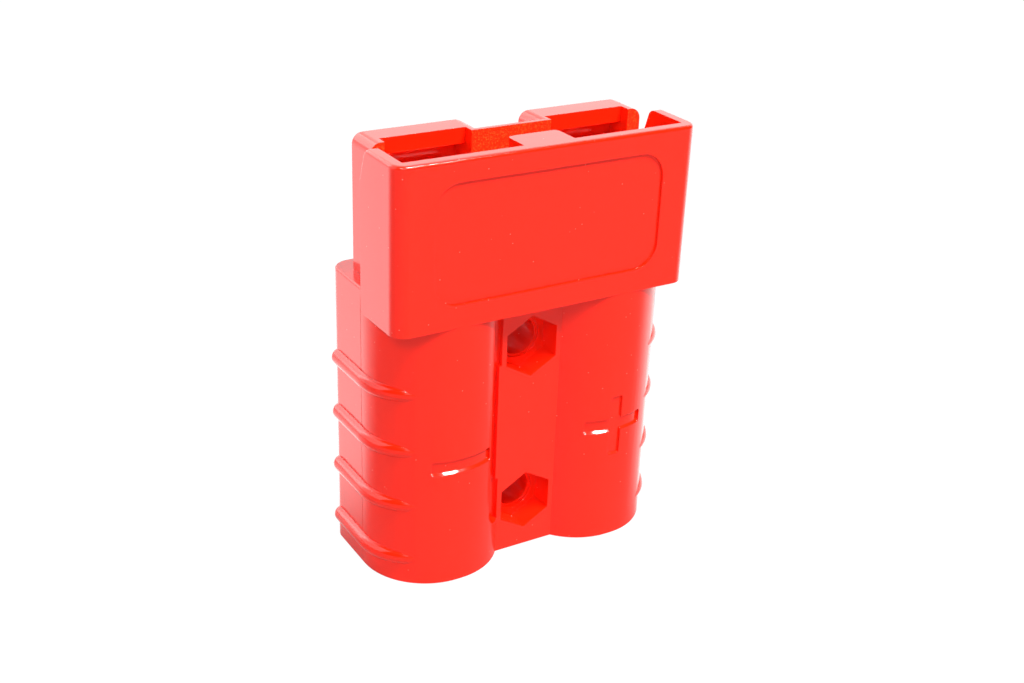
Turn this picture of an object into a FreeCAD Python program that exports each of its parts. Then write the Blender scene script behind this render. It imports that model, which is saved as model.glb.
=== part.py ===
"""Genderless two-pole power connector, 50 A size.

The red moulded housing stands on its wire-entry end with the mating end up.
Its front half ends in a hood, its back half in a tongue, and two of these
connectors plug into each other, one turned over.  Each pole holds a plated
copper contact with a crimp barrel, pushed forward by a leaf spring.

Millimetres.  X runs across the poles, the hood looks along -Y, and Z points
out of the mating end.  The origin is the middle of the standing end.
"""
import FreeCAD, Part
import math
import os

from FreeCAD import Vector

# Body: the block that holds the crimp barrels.
body_width = 35.2
body_depth = 15.7
body_back_corner_radius = 2.1
body_edge_round = 0.25
barrel_radius = 7.5
barrel_crest_width = 0.6
ledge_height = 32.8

# Pad: the sunk flat between the two round barrels, with a groove on its negative side.
pad_depth = 2.8
pad_shoulder = 0.3
pad_shoulder_bottom = 9.5
pad_shoulder_top = 23.2
groove_width = 2.05
groove_depth = 0.55
groove_bottom = 4.4
groove_corner_radius = 1.9

# Hood: the open box at the front that takes the other connector's tongue.
housing_length = 47.7
hood_skirt = 2.65
hood_wall = 1.3
hood_corner_radius = 1.6
hood_edge_round = 0.38
hood_end_round = 1.0
hood_end_slant = 0.95
hood_end_slant_height = 2.8
panel_width = 26.8
panel_height = 12.75
panel_corner_radius = 2.8
panel_sink = 0.25
panel_top_margin = 2.3

# Tongue: the two blocks at the back that enter the other connector's hood.
tongue_top_gap = 0.2
tongue_side_gap = 0.15
tongue_front = 0.65
tongue_thickness = 4.55
tongue_edge_round = 1.2
tongue_corner_round = 0.5
notch_width = 6.6
web_thickness = 0.5
key_clearance = 0.35
key_reach = 3.3
key_corner_round = 0.6

# Contact chambers inside the tongue blocks.
chamber_outer_wall = 1.6
chamber_inner_wall = 1.45
chamber_back_wall = 1.3
lip_thickness = 1.7
lip_setback = 1.3

# Wire bores, and the passage from each bore up to its chamber.
wire_bore_radius = 5.2
wire_bore_top = 25.0
spring_shelf = 1.0
spring_shelf_depth = 1.3

# Two screw holes through the middle, each with a hexagon pocket for a nut.
screw_hole_radius = 2.15
screw_hole_lower = 5.75
screw_hole_spacing = 19.05
nut_across_flats = 6.15
nut_pocket_depth = 2.7
nut_ring_radius = 2.45
nut_ring_depth = 0.3
screw_hole_chamfer = 0.3

# Grip ribs on both sides.
rib_count = 4
rib_first_height = 2.95
rib_pitch = 6.55
rib_radius = 0.95
rib_proud = 0.7
rib_front_turn = 5.85
rib_front_sweep = 64

# Contact: crimp barrel, neck, and a blade with a hooked tip.
contact_clearance = 0.2
contact_face_clearance = 0.1
contact_start = 7.6
contact_tip_gap = 1.8
crimp_clearance = 1.2
crimp_wall = 1.0
crimp_bore_depth = 11.5
crimp_length = 13.0
sight_hole_radius = 0.8
neck_length = 4.0
neck_shoulder = 0.3
blade_thickness = 1.6
blade_corner_chamfer = 1.0
hook_radius = 2.0
hook_flange = 0.4

# Leaf spring behind each blade.
spring_thickness = 0.5
spring_side_gap = 1.4
spring_clearance = 0.05
spring_foot = 2.2
spring_rise = 7.0
spring_tip_set = 0.45

# Values that follow from the ones above.
half_width = body_width / 2
front = -body_depth / 2
back = body_depth / 2
barrel_x = half_width - barrel_radius
barrel_y = front + barrel_radius
pad_front = front + pad_depth
barrel_inner_x = barrel_x - barrel_crest_width
pad_half = barrel_inner_x - math.sqrt(barrel_radius ** 2 - (barrel_y - pad_front) ** 2)
hood_bottom = ledge_height - hood_skirt
hood_inner_half = half_width - hood_wall
hood_inner_front = front + hood_wall
tongue_half = hood_inner_half - tongue_side_gap
tongue_back = tongue_front + tongue_thickness
tongue_top = housing_length - tongue_top_gap
chamber_outer = tongue_half - chamber_outer_wall
chamber_inner = notch_width / 2 + chamber_inner_wall
chamber_width = chamber_outer - chamber_inner
chamber_back = tongue_back - chamber_back_wall
chamber_top = tongue_top - lip_thickness
pole_x = (chamber_outer + chamber_inner) / 2
pole_y = blade_thickness / 2
blade_width = chamber_width - 2 * contact_clearance
contact_tip_height = chamber_top - contact_tip_gap
crimp_radius = wire_bore_radius - crimp_clearance
crimp_bore_radius = crimp_radius - crimp_wall
spring_width = chamber_width - 2 * spring_side_gap
over = 1.0


def box(x0, x1, y0, y1, z0, z1):
    """A box between two corners."""
    return Part.makeBox(x1 - x0, y1 - y0, z1 - z0, Vector(x0, y0, z0))


def mirrored(shape):
    """The same shape on the other pole's side."""
    return shape.mirror(Vector(0, 0, 0), Vector(1, 0, 0))


def both_sides(shape):
    """A shape and its mirror image, for cutting or fusing in one go."""
    return [shape, mirrored(shape)]


def edges_where(shape, test):
    """The edges whose two ends and middle all pass the test."""
    found = []
    for edge in shape.Edges:
        middle = edge.valueAt((edge.FirstParameter + edge.LastParameter) / 2)
        points = [vertex.Point for vertex in edge.Vertexes] + [middle]
        if all(test(point) for point in points):
            found.append(edge)
    return found


def arc(start, middle, end):
    """A circular edge through three points."""
    return Part.Arc(start, middle, end).toShape()


def body_section():
    """Outline of the body: boxy at the back, two round barrels in front."""
    rise = math.sqrt(0.5) * barrel_radius
    corner = body_back_corner_radius
    slant = corner * (1 - math.sqrt(0.5))
    side = Vector(half_width, barrel_y, 0)
    side_back = Vector(half_width, back - corner, 0)
    corner_middle = Vector(half_width - slant, back - slant, 0)
    back_side = Vector(half_width - corner, back, 0)
    outer_crest = Vector(barrel_x, front, 0)
    outer_middle = Vector(barrel_x + rise, barrel_y - rise, 0)
    inner_crest = Vector(barrel_inner_x, front, 0)
    seam = Vector(pad_half, pad_front, 0)
    lean = math.acos((barrel_y - pad_front) / barrel_radius) / 2
    inner_middle = Vector(barrel_inner_x - barrel_radius * math.sin(lean),
                          barrel_y - barrel_radius * math.cos(lean), 0)
    right = [
        Part.makeLine(Vector(0, pad_front, 0), seam),
        arc(seam, inner_middle, inner_crest),
        Part.makeLine(inner_crest, outer_crest),
        arc(outer_crest, outer_middle, side),
        Part.makeLine(side, side_back),
        arc(side_back, corner_middle, back_side),
        Part.makeLine(back_side, Vector(0, back, 0)),
    ]
    left = [mirrored(edge) for edge in right]
    return Part.Face(Part.Wire(Part.__sortEdges__(right + left)))


def make_body():
    """The solid block below the ledge, its top outer edge a little round."""
    body = body_section().extrude(Vector(0, 0, ledge_height))
    rim = edges_where(body, lambda p: abs(p.z - ledge_height) < 0.01 and p.y > barrel_y - 0.01)
    return body.makeFillet(body_edge_round, rim)


def make_hood_slant():
    """The wedge that makes the back ends of the hood's side walls lean at the top."""
    start = housing_length - hood_end_slant_height
    outline = Part.makePolygon([
        Vector(-half_width - over, 0, start),
        Vector(-half_width - over, -hood_end_slant, housing_length),
        Vector(-half_width - over, -hood_end_slant, housing_length + over),
        Vector(-half_width - over, over, housing_length + over),
        Vector(-half_width - over, over, start),
        Vector(-half_width - over, 0, start),
    ])
    return Part.Face(outline).extrude(Vector(body_width + 2 * over, 0, 0))


def make_hood_block():
    """The hood's outer block, from its skirt up to the mating end."""
    block = box(-half_width, half_width, front, 0, hood_bottom, housing_length)
    uprights = edges_where(block, lambda p: abs(p.y - front) < 0.01 and abs(abs(p.x) - half_width) < 0.01)
    block = block.makeFillet(hood_corner_radius, uprights).cut(make_hood_slant())
    ends = edges_where(block, lambda p: abs(p.y + hood_end_slant) < 0.01 and abs(p.z - housing_length) < 0.01)
    block = block.makeFillet(hood_end_round, ends)
    flat_end = -hood_end_slant - hood_end_round
    lip = edges_where(block, lambda p: abs(p.z - housing_length) < 0.01 and p.y < flat_end)
    return block.makeFillet(hood_edge_round, lip[:1])


def make_hood_cavity():
    """The space inside the hood, open to the top and to the tongue's face."""
    return box(-hood_inner_half, hood_inner_half, hood_inner_front, tongue_front,
               ledge_height, housing_length + over)


def make_key():
    """The upright rib in the hood that enters the other connector's notch."""
    half = notch_width / 2 - key_clearance
    key = box(-half, half, hood_inner_front - hood_wall / 2, hood_inner_front + key_reach,
              ledge_height - over, housing_length)
    rear = edges_where(key, lambda p: abs(p.y - hood_inner_front - key_reach) < 0.01)
    uprights = [edge for edge in rear if edge.BoundBox.ZLength > over]
    return key.makeFillet(key_corner_round, uprights)


def make_tongue_block():
    """One block of the tongue, with its upper side edges rounded."""
    block = box(notch_width / 2, tongue_half, tongue_front, tongue_back,
                ledge_height - over, tongue_top)
    crests = edges_where(block, lambda p: abs(p.z - tongue_top) < 0.01)
    crests = [edge for edge in crests if edge.BoundBox.YLength > over]
    block = block.makeFillet(tongue_edge_round, crests)
    upright = edges_where(block, lambda p: abs(p.x - tongue_half) < 0.01 and abs(p.y - tongue_back) < 0.01)
    return block.makeFillet(tongue_corner_round, upright)


def make_web():
    """The thin sheet that joins the two blocks along the tongue's face."""
    return box(-chamber_inner, chamber_inner, tongue_front, tongue_front + web_thickness,
               ledge_height - over, tongue_top)


def make_chamber():
    """The hollow of one pole: chamber, passage down and shelf for the spring."""
    chamber = box(chamber_inner, chamber_outer, tongue_front - over, chamber_back,
                  ledge_height, chamber_top)
    mouth = box(chamber_inner, chamber_outer, tongue_front - over, tongue_front + lip_setback,
                ledge_height, tongue_top + over)
    passage_front = -contact_face_clearance
    passage = box(chamber_inner, chamber_outer, passage_front, chamber_back - spring_shelf_depth,
                  wire_bore_top - over, ledge_height)
    spring_well = box(chamber_inner, chamber_outer, passage_front, chamber_back,
                      wire_bore_top + spring_shelf, ledge_height)
    return chamber.fuse([mouth, passage, spring_well])


def make_wire_bore():
    """The round bore for one wire."""
    return Part.makeCylinder(wire_bore_radius, wire_bore_top, Vector(pole_x, pole_y, 0))


def hexagon(across_flats, height, center, depth):
    """A hexagonal prism along Y with a corner up and a corner down."""
    corner = across_flats / math.sqrt(3)
    points = []
    for step in range(7):
        angle = math.radians(90 + 60 * step)
        points.append(Vector(corner * math.cos(angle), center, height + corner * math.sin(angle)))
    return Part.Face(Part.makePolygon(points)).extrude(Vector(0, depth, 0))


def make_screw_hole(height):
    """A screw hole through the body, with its nut pocket in the pad."""
    along = Vector(0, 1, 0)
    floor = pad_front + nut_pocket_depth
    hole = Part.makeCylinder(screw_hole_radius, body_depth, Vector(0, pad_front, height), along)
    pocket = hexagon(nut_across_flats, height, pad_front - over, nut_pocket_depth + over)
    ring = Part.makeCylinder(nut_ring_radius, nut_ring_depth, Vector(0, floor, height), along)
    mouth = Part.makeCone(screw_hole_radius, screw_hole_radius + screw_hole_chamfer,
                          screw_hole_chamfer, Vector(0, back - screw_hole_chamfer, height), along)
    return hole.fuse([pocket, ring, mouth])


def make_groove():
    """The groove between the pad and the negative pole's barrel, its lower outer corner round."""
    edge = -pad_half
    groove = box(edge - groove_width, edge, front - over, pad_front + groove_depth,
                 groove_bottom, hood_bottom)
    corner = edges_where(groove, lambda p: p.x < edge - over and p.z < groove_bottom + over)
    return groove.makeFillet(groove_corner_radius, corner)


def make_pad_shoulder():
    """Between the two nut pockets the pad stands a little wider into the groove."""
    edge = -pad_half
    return box(edge - pad_shoulder, edge, pad_front, pad_front + groove_depth,
               pad_shoulder_bottom, pad_shoulder_top)


def make_panel():
    """The shallow panel sunk in the hood's front, left bare."""
    top = housing_length - panel_top_margin
    panel = box(-panel_width / 2, panel_width / 2, front - over, front + panel_sink,
                top - panel_height, top)
    corners = [edge for edge in panel.Edges if edge.BoundBox.YLength > over]
    return panel.makeFillet(panel_corner_radius, corners)


def make_rib(height):
    """One half-round grip rib on the right side: it sinks into the barrel and ends in a ball."""
    up = Vector(0, 0, 1)
    line = half_width + rib_proud - rib_radius
    pivot = Vector(line - rib_front_turn, barrel_y, height)
    front_turn = Part.makeTorus(rib_front_turn, rib_radius, pivot, up, -180, 180, rib_front_sweep)
    front_turn.rotate(pivot, up, -rib_front_sweep)
    end = Vector(line, back - body_back_corner_radius, height)
    straight = Part.makeCylinder(rib_radius, end.y - barrel_y, Vector(line, barrel_y, height),
                                 Vector(0, 1, 0))
    return front_turn.fuse([straight, Part.makeSphere(rib_radius, end)])


def make_housing():
    """The one-piece moulded housing."""
    housing = make_body().fuse([make_hood_block(), make_web()] + both_sides(make_tongue_block()))
    housing = housing.cut(make_hood_cavity())
    housing = housing.fuse(make_key())
    housing = housing.cut(both_sides(make_chamber()) + both_sides(make_wire_bore()))
    housing = housing.cut([make_groove(), make_panel()])
    housing = housing.fuse(make_pad_shoulder())
    holes = [screw_hole_lower, screw_hole_lower + screw_hole_spacing]
    housing = housing.cut([make_screw_hole(height) for height in holes])
    ribs = []
    for index in range(rib_count):
        ribs += both_sides(make_rib(rib_first_height + index * rib_pitch))
    return housing.fuse(ribs).removeSplitter()


def make_neck(bottom):
    """The part of the contact where the round barrel is pressed flat."""
    cone = Part.makeCone(crimp_radius, blade_width / 2, neck_length, Vector(0, 0, bottom))
    wide = crimp_radius + neck_shoulder
    flat = blade_thickness / 2
    reach = crimp_radius + blade_width
    top = bottom + neck_length
    outline = Part.makePolygon([
        Vector(-reach / 2, -wide, bottom), Vector(-reach / 2, wide, bottom),
        Vector(-reach / 2, flat, top), Vector(-reach / 2, -flat, top),
        Vector(-reach / 2, -wide, bottom),
    ])
    wedge = Part.Face(outline).extrude(Vector(reach, 0, 0))
    return cone.common(wedge)


def make_blade(bottom):
    """The flat blade, its tip rolled back into a hook."""
    flat = blade_thickness / 2
    turn_z = contact_tip_height - hook_radius
    turn_y = hook_radius - flat
    inner = hook_radius - blade_thickness
    slant = math.sqrt(0.5)
    points = {
        "foot_front": Vector(0, -flat, bottom),
        "foot_back": Vector(0, flat, bottom),
        "turn_front": Vector(0, -flat, turn_z),
        "turn_back": Vector(0, flat, turn_z),
        "turn_front_middle": Vector(0, turn_y - hook_radius * slant, turn_z + hook_radius * slant),
        "turn_back_middle": Vector(0, turn_y - inner * slant, turn_z + inner * slant),
        "tip": Vector(0, turn_y, contact_tip_height),
        "tip_under": Vector(0, turn_y, turn_z + inner),
        "flange": Vector(0, turn_y + hook_flange, contact_tip_height),
        "flange_under": Vector(0, turn_y + hook_flange, turn_z + inner),
    }
    edges = [
        Part.makeLine(points["foot_front"], points["turn_front"]),
        arc(points["turn_front"], points["turn_front_middle"], points["tip"]),
        Part.makeLine(points["tip"], points["flange"]),
        Part.makeLine(points["flange"], points["flange_under"]),
        Part.makeLine(points["flange_under"], points["tip_under"]),
        arc(points["tip_under"], points["turn_back_middle"], points["turn_back"]),
        Part.makeLine(points["turn_back"], points["foot_back"]),
        Part.makeLine(points["foot_back"], points["foot_front"]),
    ]
    blade = Part.Face(Part.Wire(edges)).extrude(Vector(blade_width, 0, 0))
    blade.translate(Vector(-blade_width / 2, 0, 0))
    half = blade_width / 2
    cut = blade_corner_chamfer
    corner = Part.makePolygon([
        Vector(half - cut, -over * 4, contact_tip_height),
        Vector(half, -over * 4, contact_tip_height - cut),
        Vector(half + over, -over * 4, contact_tip_height + over),
        Vector(half - cut, -over * 4, contact_tip_height),
    ])
    corner = Part.Face(corner).extrude(Vector(0, over * 8, 0))
    return blade.cut(both_sides(corner))


def make_contact():
    """One contact about its own axis."""
    crimp_top = contact_start + crimp_length
    barrel = Part.makeCylinder(crimp_radius, crimp_length, Vector(0, 0, contact_start))
    contact = barrel.fuse([make_neck(crimp_top), make_blade(crimp_top + neck_length)])
    bore = Part.makeCylinder(crimp_bore_radius, crimp_bore_depth, Vector(0, 0, contact_start))
    sight_height = contact_start + crimp_bore_depth - 2 * sight_hole_radius
    sight = Part.makeCylinder(sight_hole_radius, crimp_radius + over, Vector(0, 0, sight_height),
                              Vector(0, -1, 0))
    return contact.cut([bore, sight]).removeSplitter()


def make_spring():
    """One leaf spring about the contact's axis, bowed on to the blade's back."""
    half = spring_thickness / 2
    wall = chamber_back - pole_y
    rest = wall - spring_clearance - half
    crown = blade_thickness / 2 + spring_clearance + half
    foot_z = wire_bore_top + spring_shelf + spring_clearance
    bend_z = foot_z + spring_foot
    crown_z = bend_z + spring_rise
    tip_z = contact_tip_height - blade_thickness - spring_clearance
    shift = rest - crown
    radius = (shift ** 2 + spring_rise ** 2) / (4 * shift)
    turn = math.asin(spring_rise / 2 / radius)
    sag = radius * (1 - math.cos(turn / 2))
    reach = radius * math.sin(turn / 2)
    middle = Vector(0, (rest + crown) / 2, (bend_z + crown_z) / 2)
    tip_rise = tip_z - crown_z
    tip_radius = (spring_tip_set ** 2 + tip_rise ** 2) / (2 * spring_tip_set)
    tip_turn = math.asin(tip_rise / tip_radius)
    tip_middle = Vector(0, crown + tip_radius * (1 - math.cos(tip_turn / 2)),
                        crown_z + tip_radius * math.sin(tip_turn / 2))
    path = Part.Wire([
        Part.makeLine(Vector(0, rest, foot_z), Vector(0, rest, bend_z)),
        arc(Vector(0, rest, bend_z), Vector(0, rest - sag, bend_z + reach), middle),
        arc(middle, Vector(0, crown + sag, crown_z - reach), Vector(0, crown, crown_z)),
        arc(Vector(0, crown, crown_z), tip_middle, Vector(0, crown + spring_tip_set, tip_z)),
    ])
    width = spring_width / 2
    section = Part.makePolygon([
        Vector(-width, rest - half, foot_z), Vector(width, rest - half, foot_z),
        Vector(width, rest + half, foot_z), Vector(-width, rest + half, foot_z),
        Vector(-width, rest - half, foot_z),
    ])
    return path.makePipeShell([section], True, False)


def placed(shape, side):
    """A contact or spring moved to its pole; side is 1 or -1."""
    moved = shape.copy()
    moved.translate(Vector(side * pole_x, pole_y, 0))
    return moved


def save(shape, node):
    """Write one node's STEP file."""
    if not shape.isValid():
        raise RuntimeError(node + " is not a valid solid")
    shape.exportStep("parts/" + node + ".step")


os.makedirs("parts", exist_ok=True)
save(make_housing(), "housing")
save(placed(make_contact(), 1), "contact_positive")
save(placed(make_contact(), -1), "contact_negative")
save(placed(make_spring(), 1), "contact_spring_positive")
save(placed(make_spring(), -1), "contact_spring_negative")
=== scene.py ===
"""Looks of a genderless two-pole power connector: a red moulded housing and its plated contacts."""
import math

import bpy
from mathutils import Matrix, Vector


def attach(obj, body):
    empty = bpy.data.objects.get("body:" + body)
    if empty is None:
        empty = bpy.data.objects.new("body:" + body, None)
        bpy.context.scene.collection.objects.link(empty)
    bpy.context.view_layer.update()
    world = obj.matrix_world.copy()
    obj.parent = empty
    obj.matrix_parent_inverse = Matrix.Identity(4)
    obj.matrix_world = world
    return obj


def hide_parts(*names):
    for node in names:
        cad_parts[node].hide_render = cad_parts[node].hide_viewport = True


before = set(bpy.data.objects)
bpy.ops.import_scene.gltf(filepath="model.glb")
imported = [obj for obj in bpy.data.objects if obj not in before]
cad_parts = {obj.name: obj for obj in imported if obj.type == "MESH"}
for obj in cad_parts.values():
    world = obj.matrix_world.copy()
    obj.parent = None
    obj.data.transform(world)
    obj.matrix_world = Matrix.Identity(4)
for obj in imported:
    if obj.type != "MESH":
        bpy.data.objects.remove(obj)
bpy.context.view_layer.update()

# The housing is one injection moulding in red polycarbonate: a block with two round wire barrels,
# a hood in front and a tongue behind.  Raised bars in the mould sink the polarity signs in the
# barrels, and the mould's halves leave a fine witness line down each side.
MM = 0.001
barrel_radius = 7.5 * MM
barrel_outer_x = 10.1 * MM
barrel_inner_x = 9.5 * MM
barrel_y = -0.35 * MM
sign_depth = 0.27 * MM
sign_cover = 0.17 * MM
sign_corner = 0.28 * MM
sign_lean = 0.335 * MM
line_width = 0.09 * MM
line_depth = 0.015 * MM
edge_softness = 0.05 * MM
flat_side_x = 17.6 * MM
round_sides = 220
round_length = 30 * MM
tongue_face_y = 0.65 * MM
ledge_height = 32.8 * MM


def pick_only(piece):
    """Make one object the only selected and the active one."""
    bpy.ops.object.select_all(action="DESELECT")
    piece.select_set(True)
    bpy.context.view_layer.objects.active = piece


def combine(piece, tool, operation):
    """Apply one boolean operation to the piece and throw the tool away."""
    pick_only(piece)
    step = piece.modifiers.new("step", "BOOLEAN")
    step.operation = operation
    step.solver = "EXACT"
    step.object = tool
    bpy.ops.object.modifier_apply(modifier=step.name)
    bpy.data.objects.remove(tool)


def add_round(x, radius, z):
    """An upright cylinder on a barrel's axis."""
    bpy.ops.object.select_all(action="DESELECT")
    bpy.ops.mesh.primitive_cylinder_add(vertices=round_sides, radius=radius, depth=round_length,
                                        location=(x, barrel_y, z))
    bpy.ops.object.transform_apply(location=True, rotation=True, scale=True)
    return bpy.context.object


def sink_bar(housing, side, left, right, bottom, top):
    """Sink one bar of a sign (mm): its floor follows the barrel and its lower wall leans."""
    bpy.ops.object.select_all(action="DESELECT")
    front_y, rear_y = -8.4 * MM, -6.2 * MM
    middle = ((left + right) / 2 * MM, (front_y + rear_y) / 2, (bottom + top) / 2 * MM)
    bpy.ops.mesh.primitive_cube_add(size=1, location=middle)
    bar = bpy.context.object
    bar.scale = ((right - left) * MM, rear_y - front_y, (top - bottom) * MM)
    bpy.ops.object.transform_apply(location=True, rotation=True, scale=True)
    bpy.ops.object.mode_set(mode="EDIT")
    bpy.ops.mesh.select_mode(type="EDGE")
    bpy.ops.mesh.select_all(action="DESELECT")
    bpy.ops.object.mode_set(mode="OBJECT")
    for edge in bar.data.edges:
        start, end = (bar.data.vertices[index].co for index in edge.vertices)
        edge.select = abs(start.y - end.y) > MM
    bpy.ops.object.mode_set(mode="EDIT")
    bpy.ops.mesh.bevel(offset=sign_corner, segments=5)
    bpy.ops.object.mode_set(mode="OBJECT")
    middle_x = side * (barrel_outer_x + barrel_inner_x) / 2
    combine(bar, add_round(middle_x, barrel_radius + sign_cover, middle[2]), "INTERSECT")
    for barrel_x in (barrel_outer_x, barrel_inner_x):
        combine(bar, add_round(side * barrel_x, barrel_radius - sign_depth, middle[2]), "DIFFERENCE")
    pick_only(bar)
    bpy.ops.object.mode_set(mode="EDIT")
    bpy.ops.mesh.select_all(action="SELECT")
    bpy.ops.mesh.quads_convert_to_tris(quad_method="BEAUTY", ngon_method="BEAUTY")
    bpy.ops.object.mode_set(mode="OBJECT")
    lifted_radius = barrel_radius - sign_depth / 3
    lifted_height = sign_corner * 0.99
    for corner in bar.data.vertices:
        above = corner.co.z - bottom * MM
        radius = math.hypot(corner.co.x - middle_x, corner.co.y - barrel_y)
        if radius < lifted_radius and above < lifted_height:
            corner.co.z += sign_lean * (1 - above / sign_corner)
    combine(housing, bar, "DIFFERENCE")


def score_line(housing, side, y, bottom, top):
    """Score one fine upright line (mm) into a flat side of the housing."""
    bpy.ops.object.select_all(action="DESELECT")
    middle = (side * flat_side_x, y * MM, (bottom + top) / 2 * MM)
    bpy.ops.mesh.primitive_cube_add(size=1, location=middle)
    blade = bpy.context.object
    blade.scale = (2 * line_depth, line_width, (top - bottom) * MM)
    bpy.ops.object.transform_apply(location=True, rotation=True, scale=True)
    combine(housing, blade, "DIFFERENCE")


pick_only(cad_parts["housing"])
bpy.ops.object.duplicate()
housing = bpy.context.object
housing.name = "housing_moulding"
housing.parent = None
housing.matrix_world = Matrix.Identity(4)
for key in list(housing.keys()):
    del housing[key]
bpy.ops.mesh.customdata_custom_splitnormals_clear()
bpy.ops.object.mode_set(mode="EDIT")
bpy.ops.mesh.select_all(action="SELECT")
same_point = 0.002 * MM
same_plane = math.radians(0.05)
bpy.ops.mesh.remove_doubles(threshold=same_point)
bpy.ops.mesh.dissolve_limited(angle_limit=same_plane)
bpy.ops.object.mode_set(mode="OBJECT")

for side in (-1, 1):
    score_line(housing, side, y=0.05, bottom=-1.0, top=32.0)
sink_bar(housing, -1, left=-13.1, right=-5.9, bottom=13.3, top=15.0)
sink_bar(housing, 1, left=6.1, right=13.4, bottom=13.4, top=15.1)
sink_bar(housing, 1, left=9.0, right=10.45, bottom=10.4, top=17.8)

sharp_edge = math.radians(30)
pick_only(housing)
bpy.ops.object.shade_smooth_by_angle(angle=sharp_edge)
true_flats = housing.modifiers.new("true_flats", "WEIGHTED_NORMAL")
true_flats.keep_sharp = True
true_flats.weight = 80
bpy.ops.object.modifier_apply(modifier=true_flats.name)


dust_cells = 800
dust_edge, dust_heart = 0.065, 0.03
# Between these noise levels the sparkle mask rises from none to full; where it is high, a lighter
# orange is painted as painted sparkle.
painted_sparkle_first, painted_sparkle_full = 0.52, 0.75


def build_grain():
    """The grain of a skin: one noise moves roughness, bump and a mask of painted sparkle, and cells
    give dust specks.
    """
    grain = bpy.data.node_groups.new("skin_grain", "ShaderNodeTree")
    sides = grain.interface
    sides.new_socket("Scale", in_out="INPUT", socket_type="NodeSocketFloat")
    sides.new_socket("Smoothest", in_out="INPUT", socket_type="NodeSocketFloat")
    sides.new_socket("Roughest", in_out="INPUT", socket_type="NodeSocketFloat")
    sides.new_socket("Relief", in_out="INPUT", socket_type="NodeSocketFloat")
    sides.new_socket("Normal", in_out="INPUT", socket_type="NodeSocketVector")
    sides.new_socket("Roughness", in_out="OUTPUT", socket_type="NodeSocketFloat")
    sides.new_socket("Normal", in_out="OUTPUT", socket_type="NodeSocketVector")
    sides.new_socket("Speck", in_out="OUTPUT", socket_type="NodeSocketFloat")
    sides.new_socket("Painted Sparkle", in_out="OUTPUT", socket_type="NodeSocketFloat")
    nodes, links = grain.nodes, grain.links
    given = nodes.new("NodeGroupInput")
    result = nodes.new("NodeGroupOutput")
    place = nodes.new("ShaderNodeTexCoord")
    noise = nodes.new("ShaderNodeTexNoise")
    noise.inputs["Detail"].default_value = 3
    sheen = nodes.new("ShaderNodeMapRange")
    bump = nodes.new("ShaderNodeBump")
    bump.inputs["Strength"].default_value = 1
    dust = nodes.new("ShaderNodeTexVoronoi")
    dust.inputs["Scale"].default_value = dust_cells
    fleck = nodes.new("ShaderNodeMapRange")
    fleck.inputs["From Min"].default_value = dust_edge
    fleck.inputs["From Max"].default_value = dust_heart
    # The sparkle mask: painted sparkle, glints of a textured face painted as lighter colour.
    painted_sparkle = nodes.new("ShaderNodeMapRange")
    painted_sparkle.inputs["From Min"].default_value = painted_sparkle_first
    painted_sparkle.inputs["From Max"].default_value = painted_sparkle_full
    links.new(noise.outputs["Fac"], painted_sparkle.inputs["Value"])
    links.new(painted_sparkle.outputs["Result"], result.inputs["Painted Sparkle"])
    links.new(place.outputs["Object"], dust.inputs["Vector"])
    links.new(dust.outputs["Distance"], fleck.inputs["Value"])
    links.new(fleck.outputs["Result"], result.inputs["Speck"])
    links.new(place.outputs["Object"], noise.inputs["Vector"])
    links.new(given.outputs["Scale"], noise.inputs["Scale"])
    links.new(noise.outputs["Fac"], sheen.inputs["Value"])
    links.new(given.outputs["Smoothest"], sheen.inputs["To Min"])
    links.new(given.outputs["Roughest"], sheen.inputs["To Max"])
    links.new(noise.outputs["Fac"], bump.inputs["Height"])
    links.new(given.outputs["Relief"], bump.inputs["Distance"])
    links.new(given.outputs["Normal"], bump.inputs["Normal"])
    links.new(sheen.outputs["Result"], result.inputs["Roughness"])
    links.new(bump.outputs["Normal"], result.inputs["Normal"])
    return grain


grain_group = build_grain()


def grained(material, scale, smoothest, roughest, relief):
    """Put the grain and soft edges on a material's shader and hand the shader back."""
    nodes, links = material.node_tree.nodes, material.node_tree.links
    shader = nodes["Principled BSDF"]
    grain = nodes.new("ShaderNodeGroup")
    grain.node_tree = grain_group
    grain.inputs["Scale"].default_value = scale
    grain.inputs["Smoothest"].default_value = smoothest
    grain.inputs["Roughest"].default_value = roughest
    grain.inputs["Relief"].default_value = relief
    soft_edge = nodes.new("ShaderNodeBevel")
    soft_edge.samples = 6
    soft_edge.inputs["Radius"].default_value = edge_softness
    links.new(soft_edge.outputs["Normal"], grain.inputs["Normal"])
    links.new(grain.outputs["Roughness"], shader.inputs["Roughness"])
    links.new(grain.outputs["Normal"], shader.inputs["Normal"])
    return shader


mix_factor, mix_first, mix_second, mix_result = 0, 6, 7, 2


def flecked(material, clean, fleck, mask):
    """Colour a material, with flecks where one of the masks of its grain is high: dust specks, or
    painted sparkle.
    """
    nodes, links = material.node_tree.nodes, material.node_tree.links
    grain = next(node for node in nodes if node.type == "GROUP")
    colour = nodes.new("ShaderNodeMix")
    colour.data_type = "RGBA"
    colour.inputs[mix_first].default_value = clean
    colour.inputs[mix_second].default_value = fleck
    links.new(grain.outputs[mask], colour.inputs[mix_factor])
    links.new(colour.outputs[mix_result], nodes["Principled BSDF"].inputs["Base Color"])


gloss_red = bpy.data.materials.new("gloss_red_moulding")
gloss_red.use_nodes = True
gloss_shader = grained(gloss_red, scale=900, smoothest=0.08, roughest=0.16, relief=0.0008 * MM)
flecked(gloss_red, clean=(0.95, 0.014, 0.002, 1), fleck=(0.95, 0.15, 0.11, 1), mask="Speck")
polycarbonate_ior = 1.58
gloss_shader.inputs["IOR"].default_value = polycarbonate_ior

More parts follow.
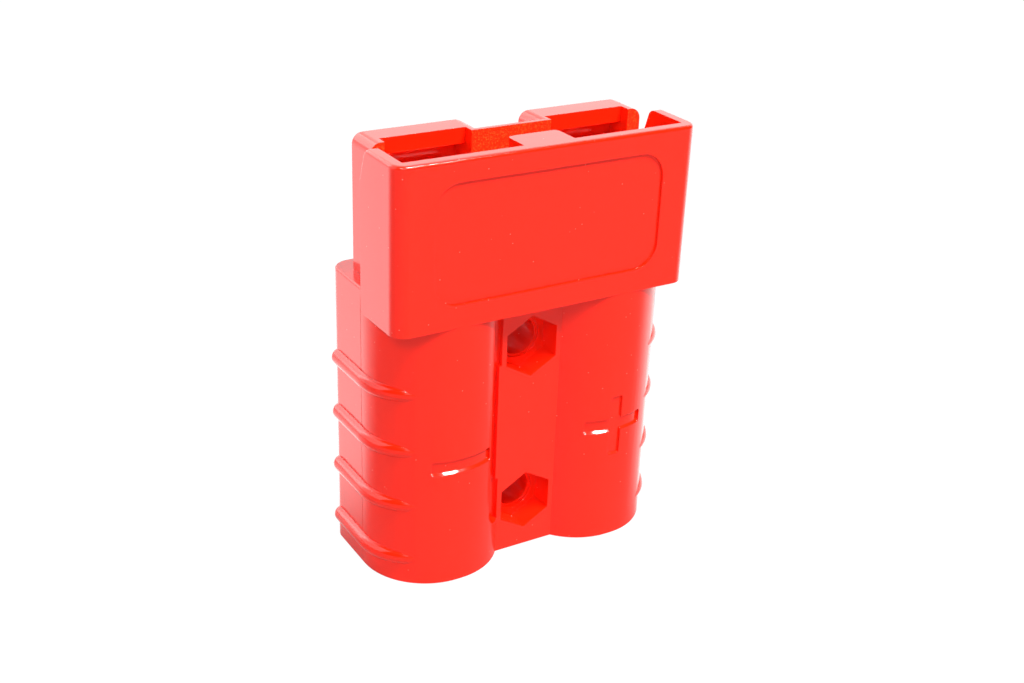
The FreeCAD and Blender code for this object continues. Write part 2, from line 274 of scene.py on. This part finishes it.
# The spark-eroded texture on the tongue's front face is the same red plastic. Its clean colour, a
# little more orange than the gloss red's, is painted sheen, and its lighter orange flecks where the
# noise is high are painted sparkle.
sparked_red_painted_sheen = bpy.data.materials.new("sparked_red_moulding_painted_sheen")
sparked_red_painted_sheen.use_nodes = True
spark_shader = grained(sparked_red_painted_sheen, scale=5000, smoothest=0.4, roughest=0.6, relief=0.08 * MM)
flecked(sparked_red_painted_sheen, clean=(0.95, 0.022, 0.001, 1), fleck=(0.95, 0.10, 0.012, 1), mask="Painted Sparkle")
spark_shader.inputs["Specular IOR Level"].default_value = 0.2
spark_shader.inputs["IOR"].default_value = polycarbonate_ior

housing.data.materials.clear()
housing.data.materials.append(gloss_red)
housing.data.materials.append(sparked_red_painted_sheen)
near_plane = 0.02 * MM
for face in housing.data.polygons:
    on_front = abs(face.center.y - tongue_face_y) < near_plane and face.normal.y < -0.9
    face.material_index = 1 if on_front and face.center.z > ledge_height else 0
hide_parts("housing")
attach(housing, "root")

# Each contact is a stamped and rolled copper part, silver plated all over: a crimp barrel below,
# a blade with a hooked tip above.  It snaps into its pole of the housing from the wire end.
silver = bpy.data.materials.new("silver_plate")
silver.use_nodes = True
silver_shader = grained(silver, scale=1600, smoothest=0.24, roughest=0.34, relief=0.0003 * MM)
silver_shader.inputs["Base Color"].default_value = (0.86, 0.85, 0.82, 1)
silver_shader.inputs["Metallic"].default_value = 1
for name in ("contact_positive", "contact_negative"):
    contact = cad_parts[name]
    contact.data.materials.clear()
    contact.data.materials.append(silver)

# Behind each blade lies a bowed leaf, bent from stainless spring steel strip.  It sits in a step
# of the pole's chamber and pushes the contact forward.
spring_steel = bpy.data.materials.new("spring_steel")
spring_steel.use_nodes = True
steel_shader = grained(spring_steel, scale=2200, smoothest=0.28, roughest=0.4, relief=0.0004 * MM)
steel_shader.inputs["Base Color"].default_value = (0.6, 0.6, 0.61, 1)
steel_shader.inputs["Metallic"].default_value = 1
for name in ("contact_spring_positive", "contact_spring_negative"):
    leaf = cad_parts[name]
    leaf.data.materials.clear()
    leaf.data.materials.append(spring_steel)

# The stand-in studio: a wide white floor under a white sky.  What glossy skins mirror of both is
# dim in front and bright behind, and the floor is dimmer again straight behind the connector.
# Five soft panel lamps hang above: a key, a small one for glints, and front, left and rear ones.
floor_size = 6.0
floor_drop = 0.02 * MM
bright_side = (0.342, 0.940, 0.0)
straight_behind = (0.521, 0.853, 0.0)
behind_first, behind_full = 0.75, 1.0
lamp_aim = Vector((0, 0, 20 * MM))


def add_bright_side(nodes, links, coordinate, dim, bright, behind, first, full):
    """A strength that rises from dim to bright towards the bright side, with its own value behind."""
    place = nodes.new("ShaderNodeTexCoord")
    flat = nodes.new("ShaderNodeVectorMath")
    flat.operation = "MULTIPLY"
    flat.inputs[1].default_value = (1, 1, 0)
    links.new(place.outputs[coordinate], flat.inputs[0])
    heading = nodes.new("ShaderNodeVectorMath")
    heading.operation = "NORMALIZE"
    links.new(flat.outputs["Vector"], heading.inputs[0])
    toward = nodes.new("ShaderNodeVectorMath")
    toward.operation = "DOT_PRODUCT"
    toward.inputs[1].default_value = bright_side
    links.new(heading.outputs["Vector"], toward.inputs[0])
    rise = nodes.new("ShaderNodeMapRange")
    rise.interpolation_type = "SMOOTHSTEP"
    rise.inputs["From Min"].default_value = first
    rise.inputs["From Max"].default_value = full
    rise.inputs["To Min"].default_value = dim
    away = nodes.new("ShaderNodeVectorMath")
    away.operation = "DOT_PRODUCT"
    away.inputs[1].default_value = straight_behind
    links.new(heading.outputs["Vector"], away.inputs[0])
    peak = nodes.new("ShaderNodeMapRange")
    peak.inputs["From Min"].default_value = behind_first
    peak.inputs["From Max"].default_value = behind_full
    peak.inputs["To Min"].default_value = bright
    peak.inputs["To Max"].default_value = behind
    links.new(away.outputs["Value"], peak.inputs["Value"])
    links.new(peak.outputs["Result"], rise.inputs["To Max"])
    links.new(toward.outputs["Value"], rise.inputs["Value"])
    return rise.outputs["Result"]


def add_strength_choice(nodes, links, chooser, chosen, otherwise):
    """Pick one of two strengths by a kind of ray."""
    choice = nodes.new("ShaderNodeMix")
    links.new(chooser, choice.inputs["Factor"])
    links.new(chosen, choice.inputs["B"])
    choice.inputs["A"].default_value = otherwise
    return choice.outputs["Result"]


bpy.ops.object.select_all(action="DESELECT")
bpy.ops.mesh.primitive_plane_add(size=floor_size, location=(0, 0, -floor_drop))
floor = bpy.context.object
floor.name = "studio_floor"
white_floor = bpy.data.materials.new("white_floor")
white_floor.use_nodes = True
nodes, links = white_floor.node_tree.nodes, white_floor.node_tree.links
nodes.clear()
surface = nodes.new("ShaderNodeOutputMaterial")
matte = nodes.new("ShaderNodeBsdfDiffuse")
matte.inputs["Color"].default_value = (0.4, 0.4, 0.4, 1)
glow = nodes.new("ShaderNodeEmission")
rays = nodes.new("ShaderNodeLightPath")
mirrored = add_bright_side(nodes, links, "Object",
                           dim=0.42, bright=1.85, behind=0.7, first=-0.2, full=0.5)
floor_white = 1.07
strength = add_strength_choice(nodes, links, rays.outputs["Is Glossy Ray"], mirrored, floor_white)
links.new(strength, glow.inputs["Strength"])
seen = nodes.new("ShaderNodeMath")
seen.operation = "MULTIPLY_ADD"
seen.use_clamp = True
links.new(rays.outputs["Is Camera Ray"], seen.inputs[0])
glow_share = 0.92
seen.inputs[1].default_value = glow_share
any_mirror = nodes.new("ShaderNodeMath")
any_mirror.operation = "MAXIMUM"
links.new(rays.outputs["Is Glossy Ray"], any_mirror.inputs[0])
links.new(rays.outputs["Is Transmission Ray"], any_mirror.inputs[1])
links.new(any_mirror.outputs["Value"], seen.inputs[2])
blend = nodes.new("ShaderNodeMixShader")
links.new(seen.outputs["Value"], blend.inputs["Fac"])
links.new(matte.outputs["BSDF"], blend.inputs[1])
links.new(glow.outputs["Emission"], blend.inputs[2])
links.new(blend.outputs["Shader"], surface.inputs["Surface"])
floor.data.materials.append(white_floor)

world = bpy.data.worlds.new("white_studio")
bpy.context.scene.world = world
world.use_nodes = True
nodes, links = world.node_tree.nodes, world.node_tree.links
nodes.clear()
sky = nodes.new("ShaderNodeOutputWorld")
even = nodes.new("ShaderNodeBackground")
even.inputs["Strength"].default_value = 0.08
mirrored_sky = nodes.new("ShaderNodeBackground")
rays = nodes.new("ShaderNodeLightPath")
mirrored = add_bright_side(nodes, links, "Generated",
                           dim=0.03, bright=2.2, behind=2.2, first=0.25, full=0.75)
sky_white = 1.0
strength = add_strength_choice(nodes, links, rays.outputs["Is Glossy Ray"], mirrored, sky_white)
links.new(strength, mirrored_sky.inputs["Strength"])
seen = nodes.new("ShaderNodeMath")
seen.operation = "MAXIMUM"
links.new(rays.outputs["Is Camera Ray"], seen.inputs[0])
links.new(rays.outputs["Is Glossy Ray"], seen.inputs[1])
blend = nodes.new("ShaderNodeMixShader")
links.new(seen.outputs["Value"], blend.inputs["Fac"])
links.new(even.outputs["Background"], blend.inputs[1])
links.new(mirrored_sky.outputs["Background"], blend.inputs[2])
links.new(blend.outputs["Shader"], sky.inputs["Surface"])


def softbox(name, place, width, height, power):
    """Hang one soft panel lamp, facing a point near the connector."""
    lamp = bpy.data.lights.new(name, "AREA")
    lamp.shape = "RECTANGLE"
    lamp.size = width
    lamp.size_y = height
    lamp.energy = power
    panel = bpy.data.objects.new(name, lamp)
    bpy.context.scene.collection.objects.link(panel)
    panel.location = place
    panel.rotation_euler = (lamp_aim - Vector(place)).to_track_quat("-Z", "Y").to_euler()


softbox("key_softbox", (0.127, -0.237, 0.479), width=0.17, height=0.17, power=5.9)
softbox("small_glint_softbox", (-0.303, -0.345, 0.419), width=0.08, height=0.08, power=1.0)
softbox("front_softbox", (-0.35, -0.75, 0.4), width=0.6, height=0.5, power=1.3)
softbox("left_softbox", (-0.8, 0.4, 0.5), width=1.2, height=0.9, power=5.4)
softbox("rear_softbox", (-0.3, 0.9, 0.5), width=0.8, height=0.6, power=2.4)

# The photograph's camera, as the fit to its corners found it: in front, to the left and above.
camera_data = bpy.data.cameras.new("camera")
camera_data.sensor_width = 36
camera_data.lens = 49.142
camera_data.shift_x = 0.0107
camera_data.shift_y = 0.0060
camera_data.clip_start = 0.005
camera = bpy.data.objects.new("camera", camera_data)
bpy.context.scene.collection.objects.link(camera)
azimuth = math.radians(-31.405)
elevation = math.radians(25.260)
roll = math.radians(2.109)
distance = 153.24 * MM
back = Vector((math.sin(azimuth) * math.cos(elevation), -math.cos(azimuth) * math.cos(elevation),
               math.sin(elevation)))
level = (-back).cross(Vector((0, 0, 1))).normalized()
upright = level.cross(-back)
right = math.cos(roll) * level + math.sin(roll) * upright
up = math.cos(roll) * upright - math.sin(roll) * level
turn = Matrix((right, up, back)).transposed().to_4x4()
target = Vector((-0.75, 0, 22.617)) * MM
camera.matrix_world = Matrix.Translation(target + back * distance) @ turn
bpy.context.scene.camera = camera
bpy.context.scene.view_settings.view_transform = "Standard"
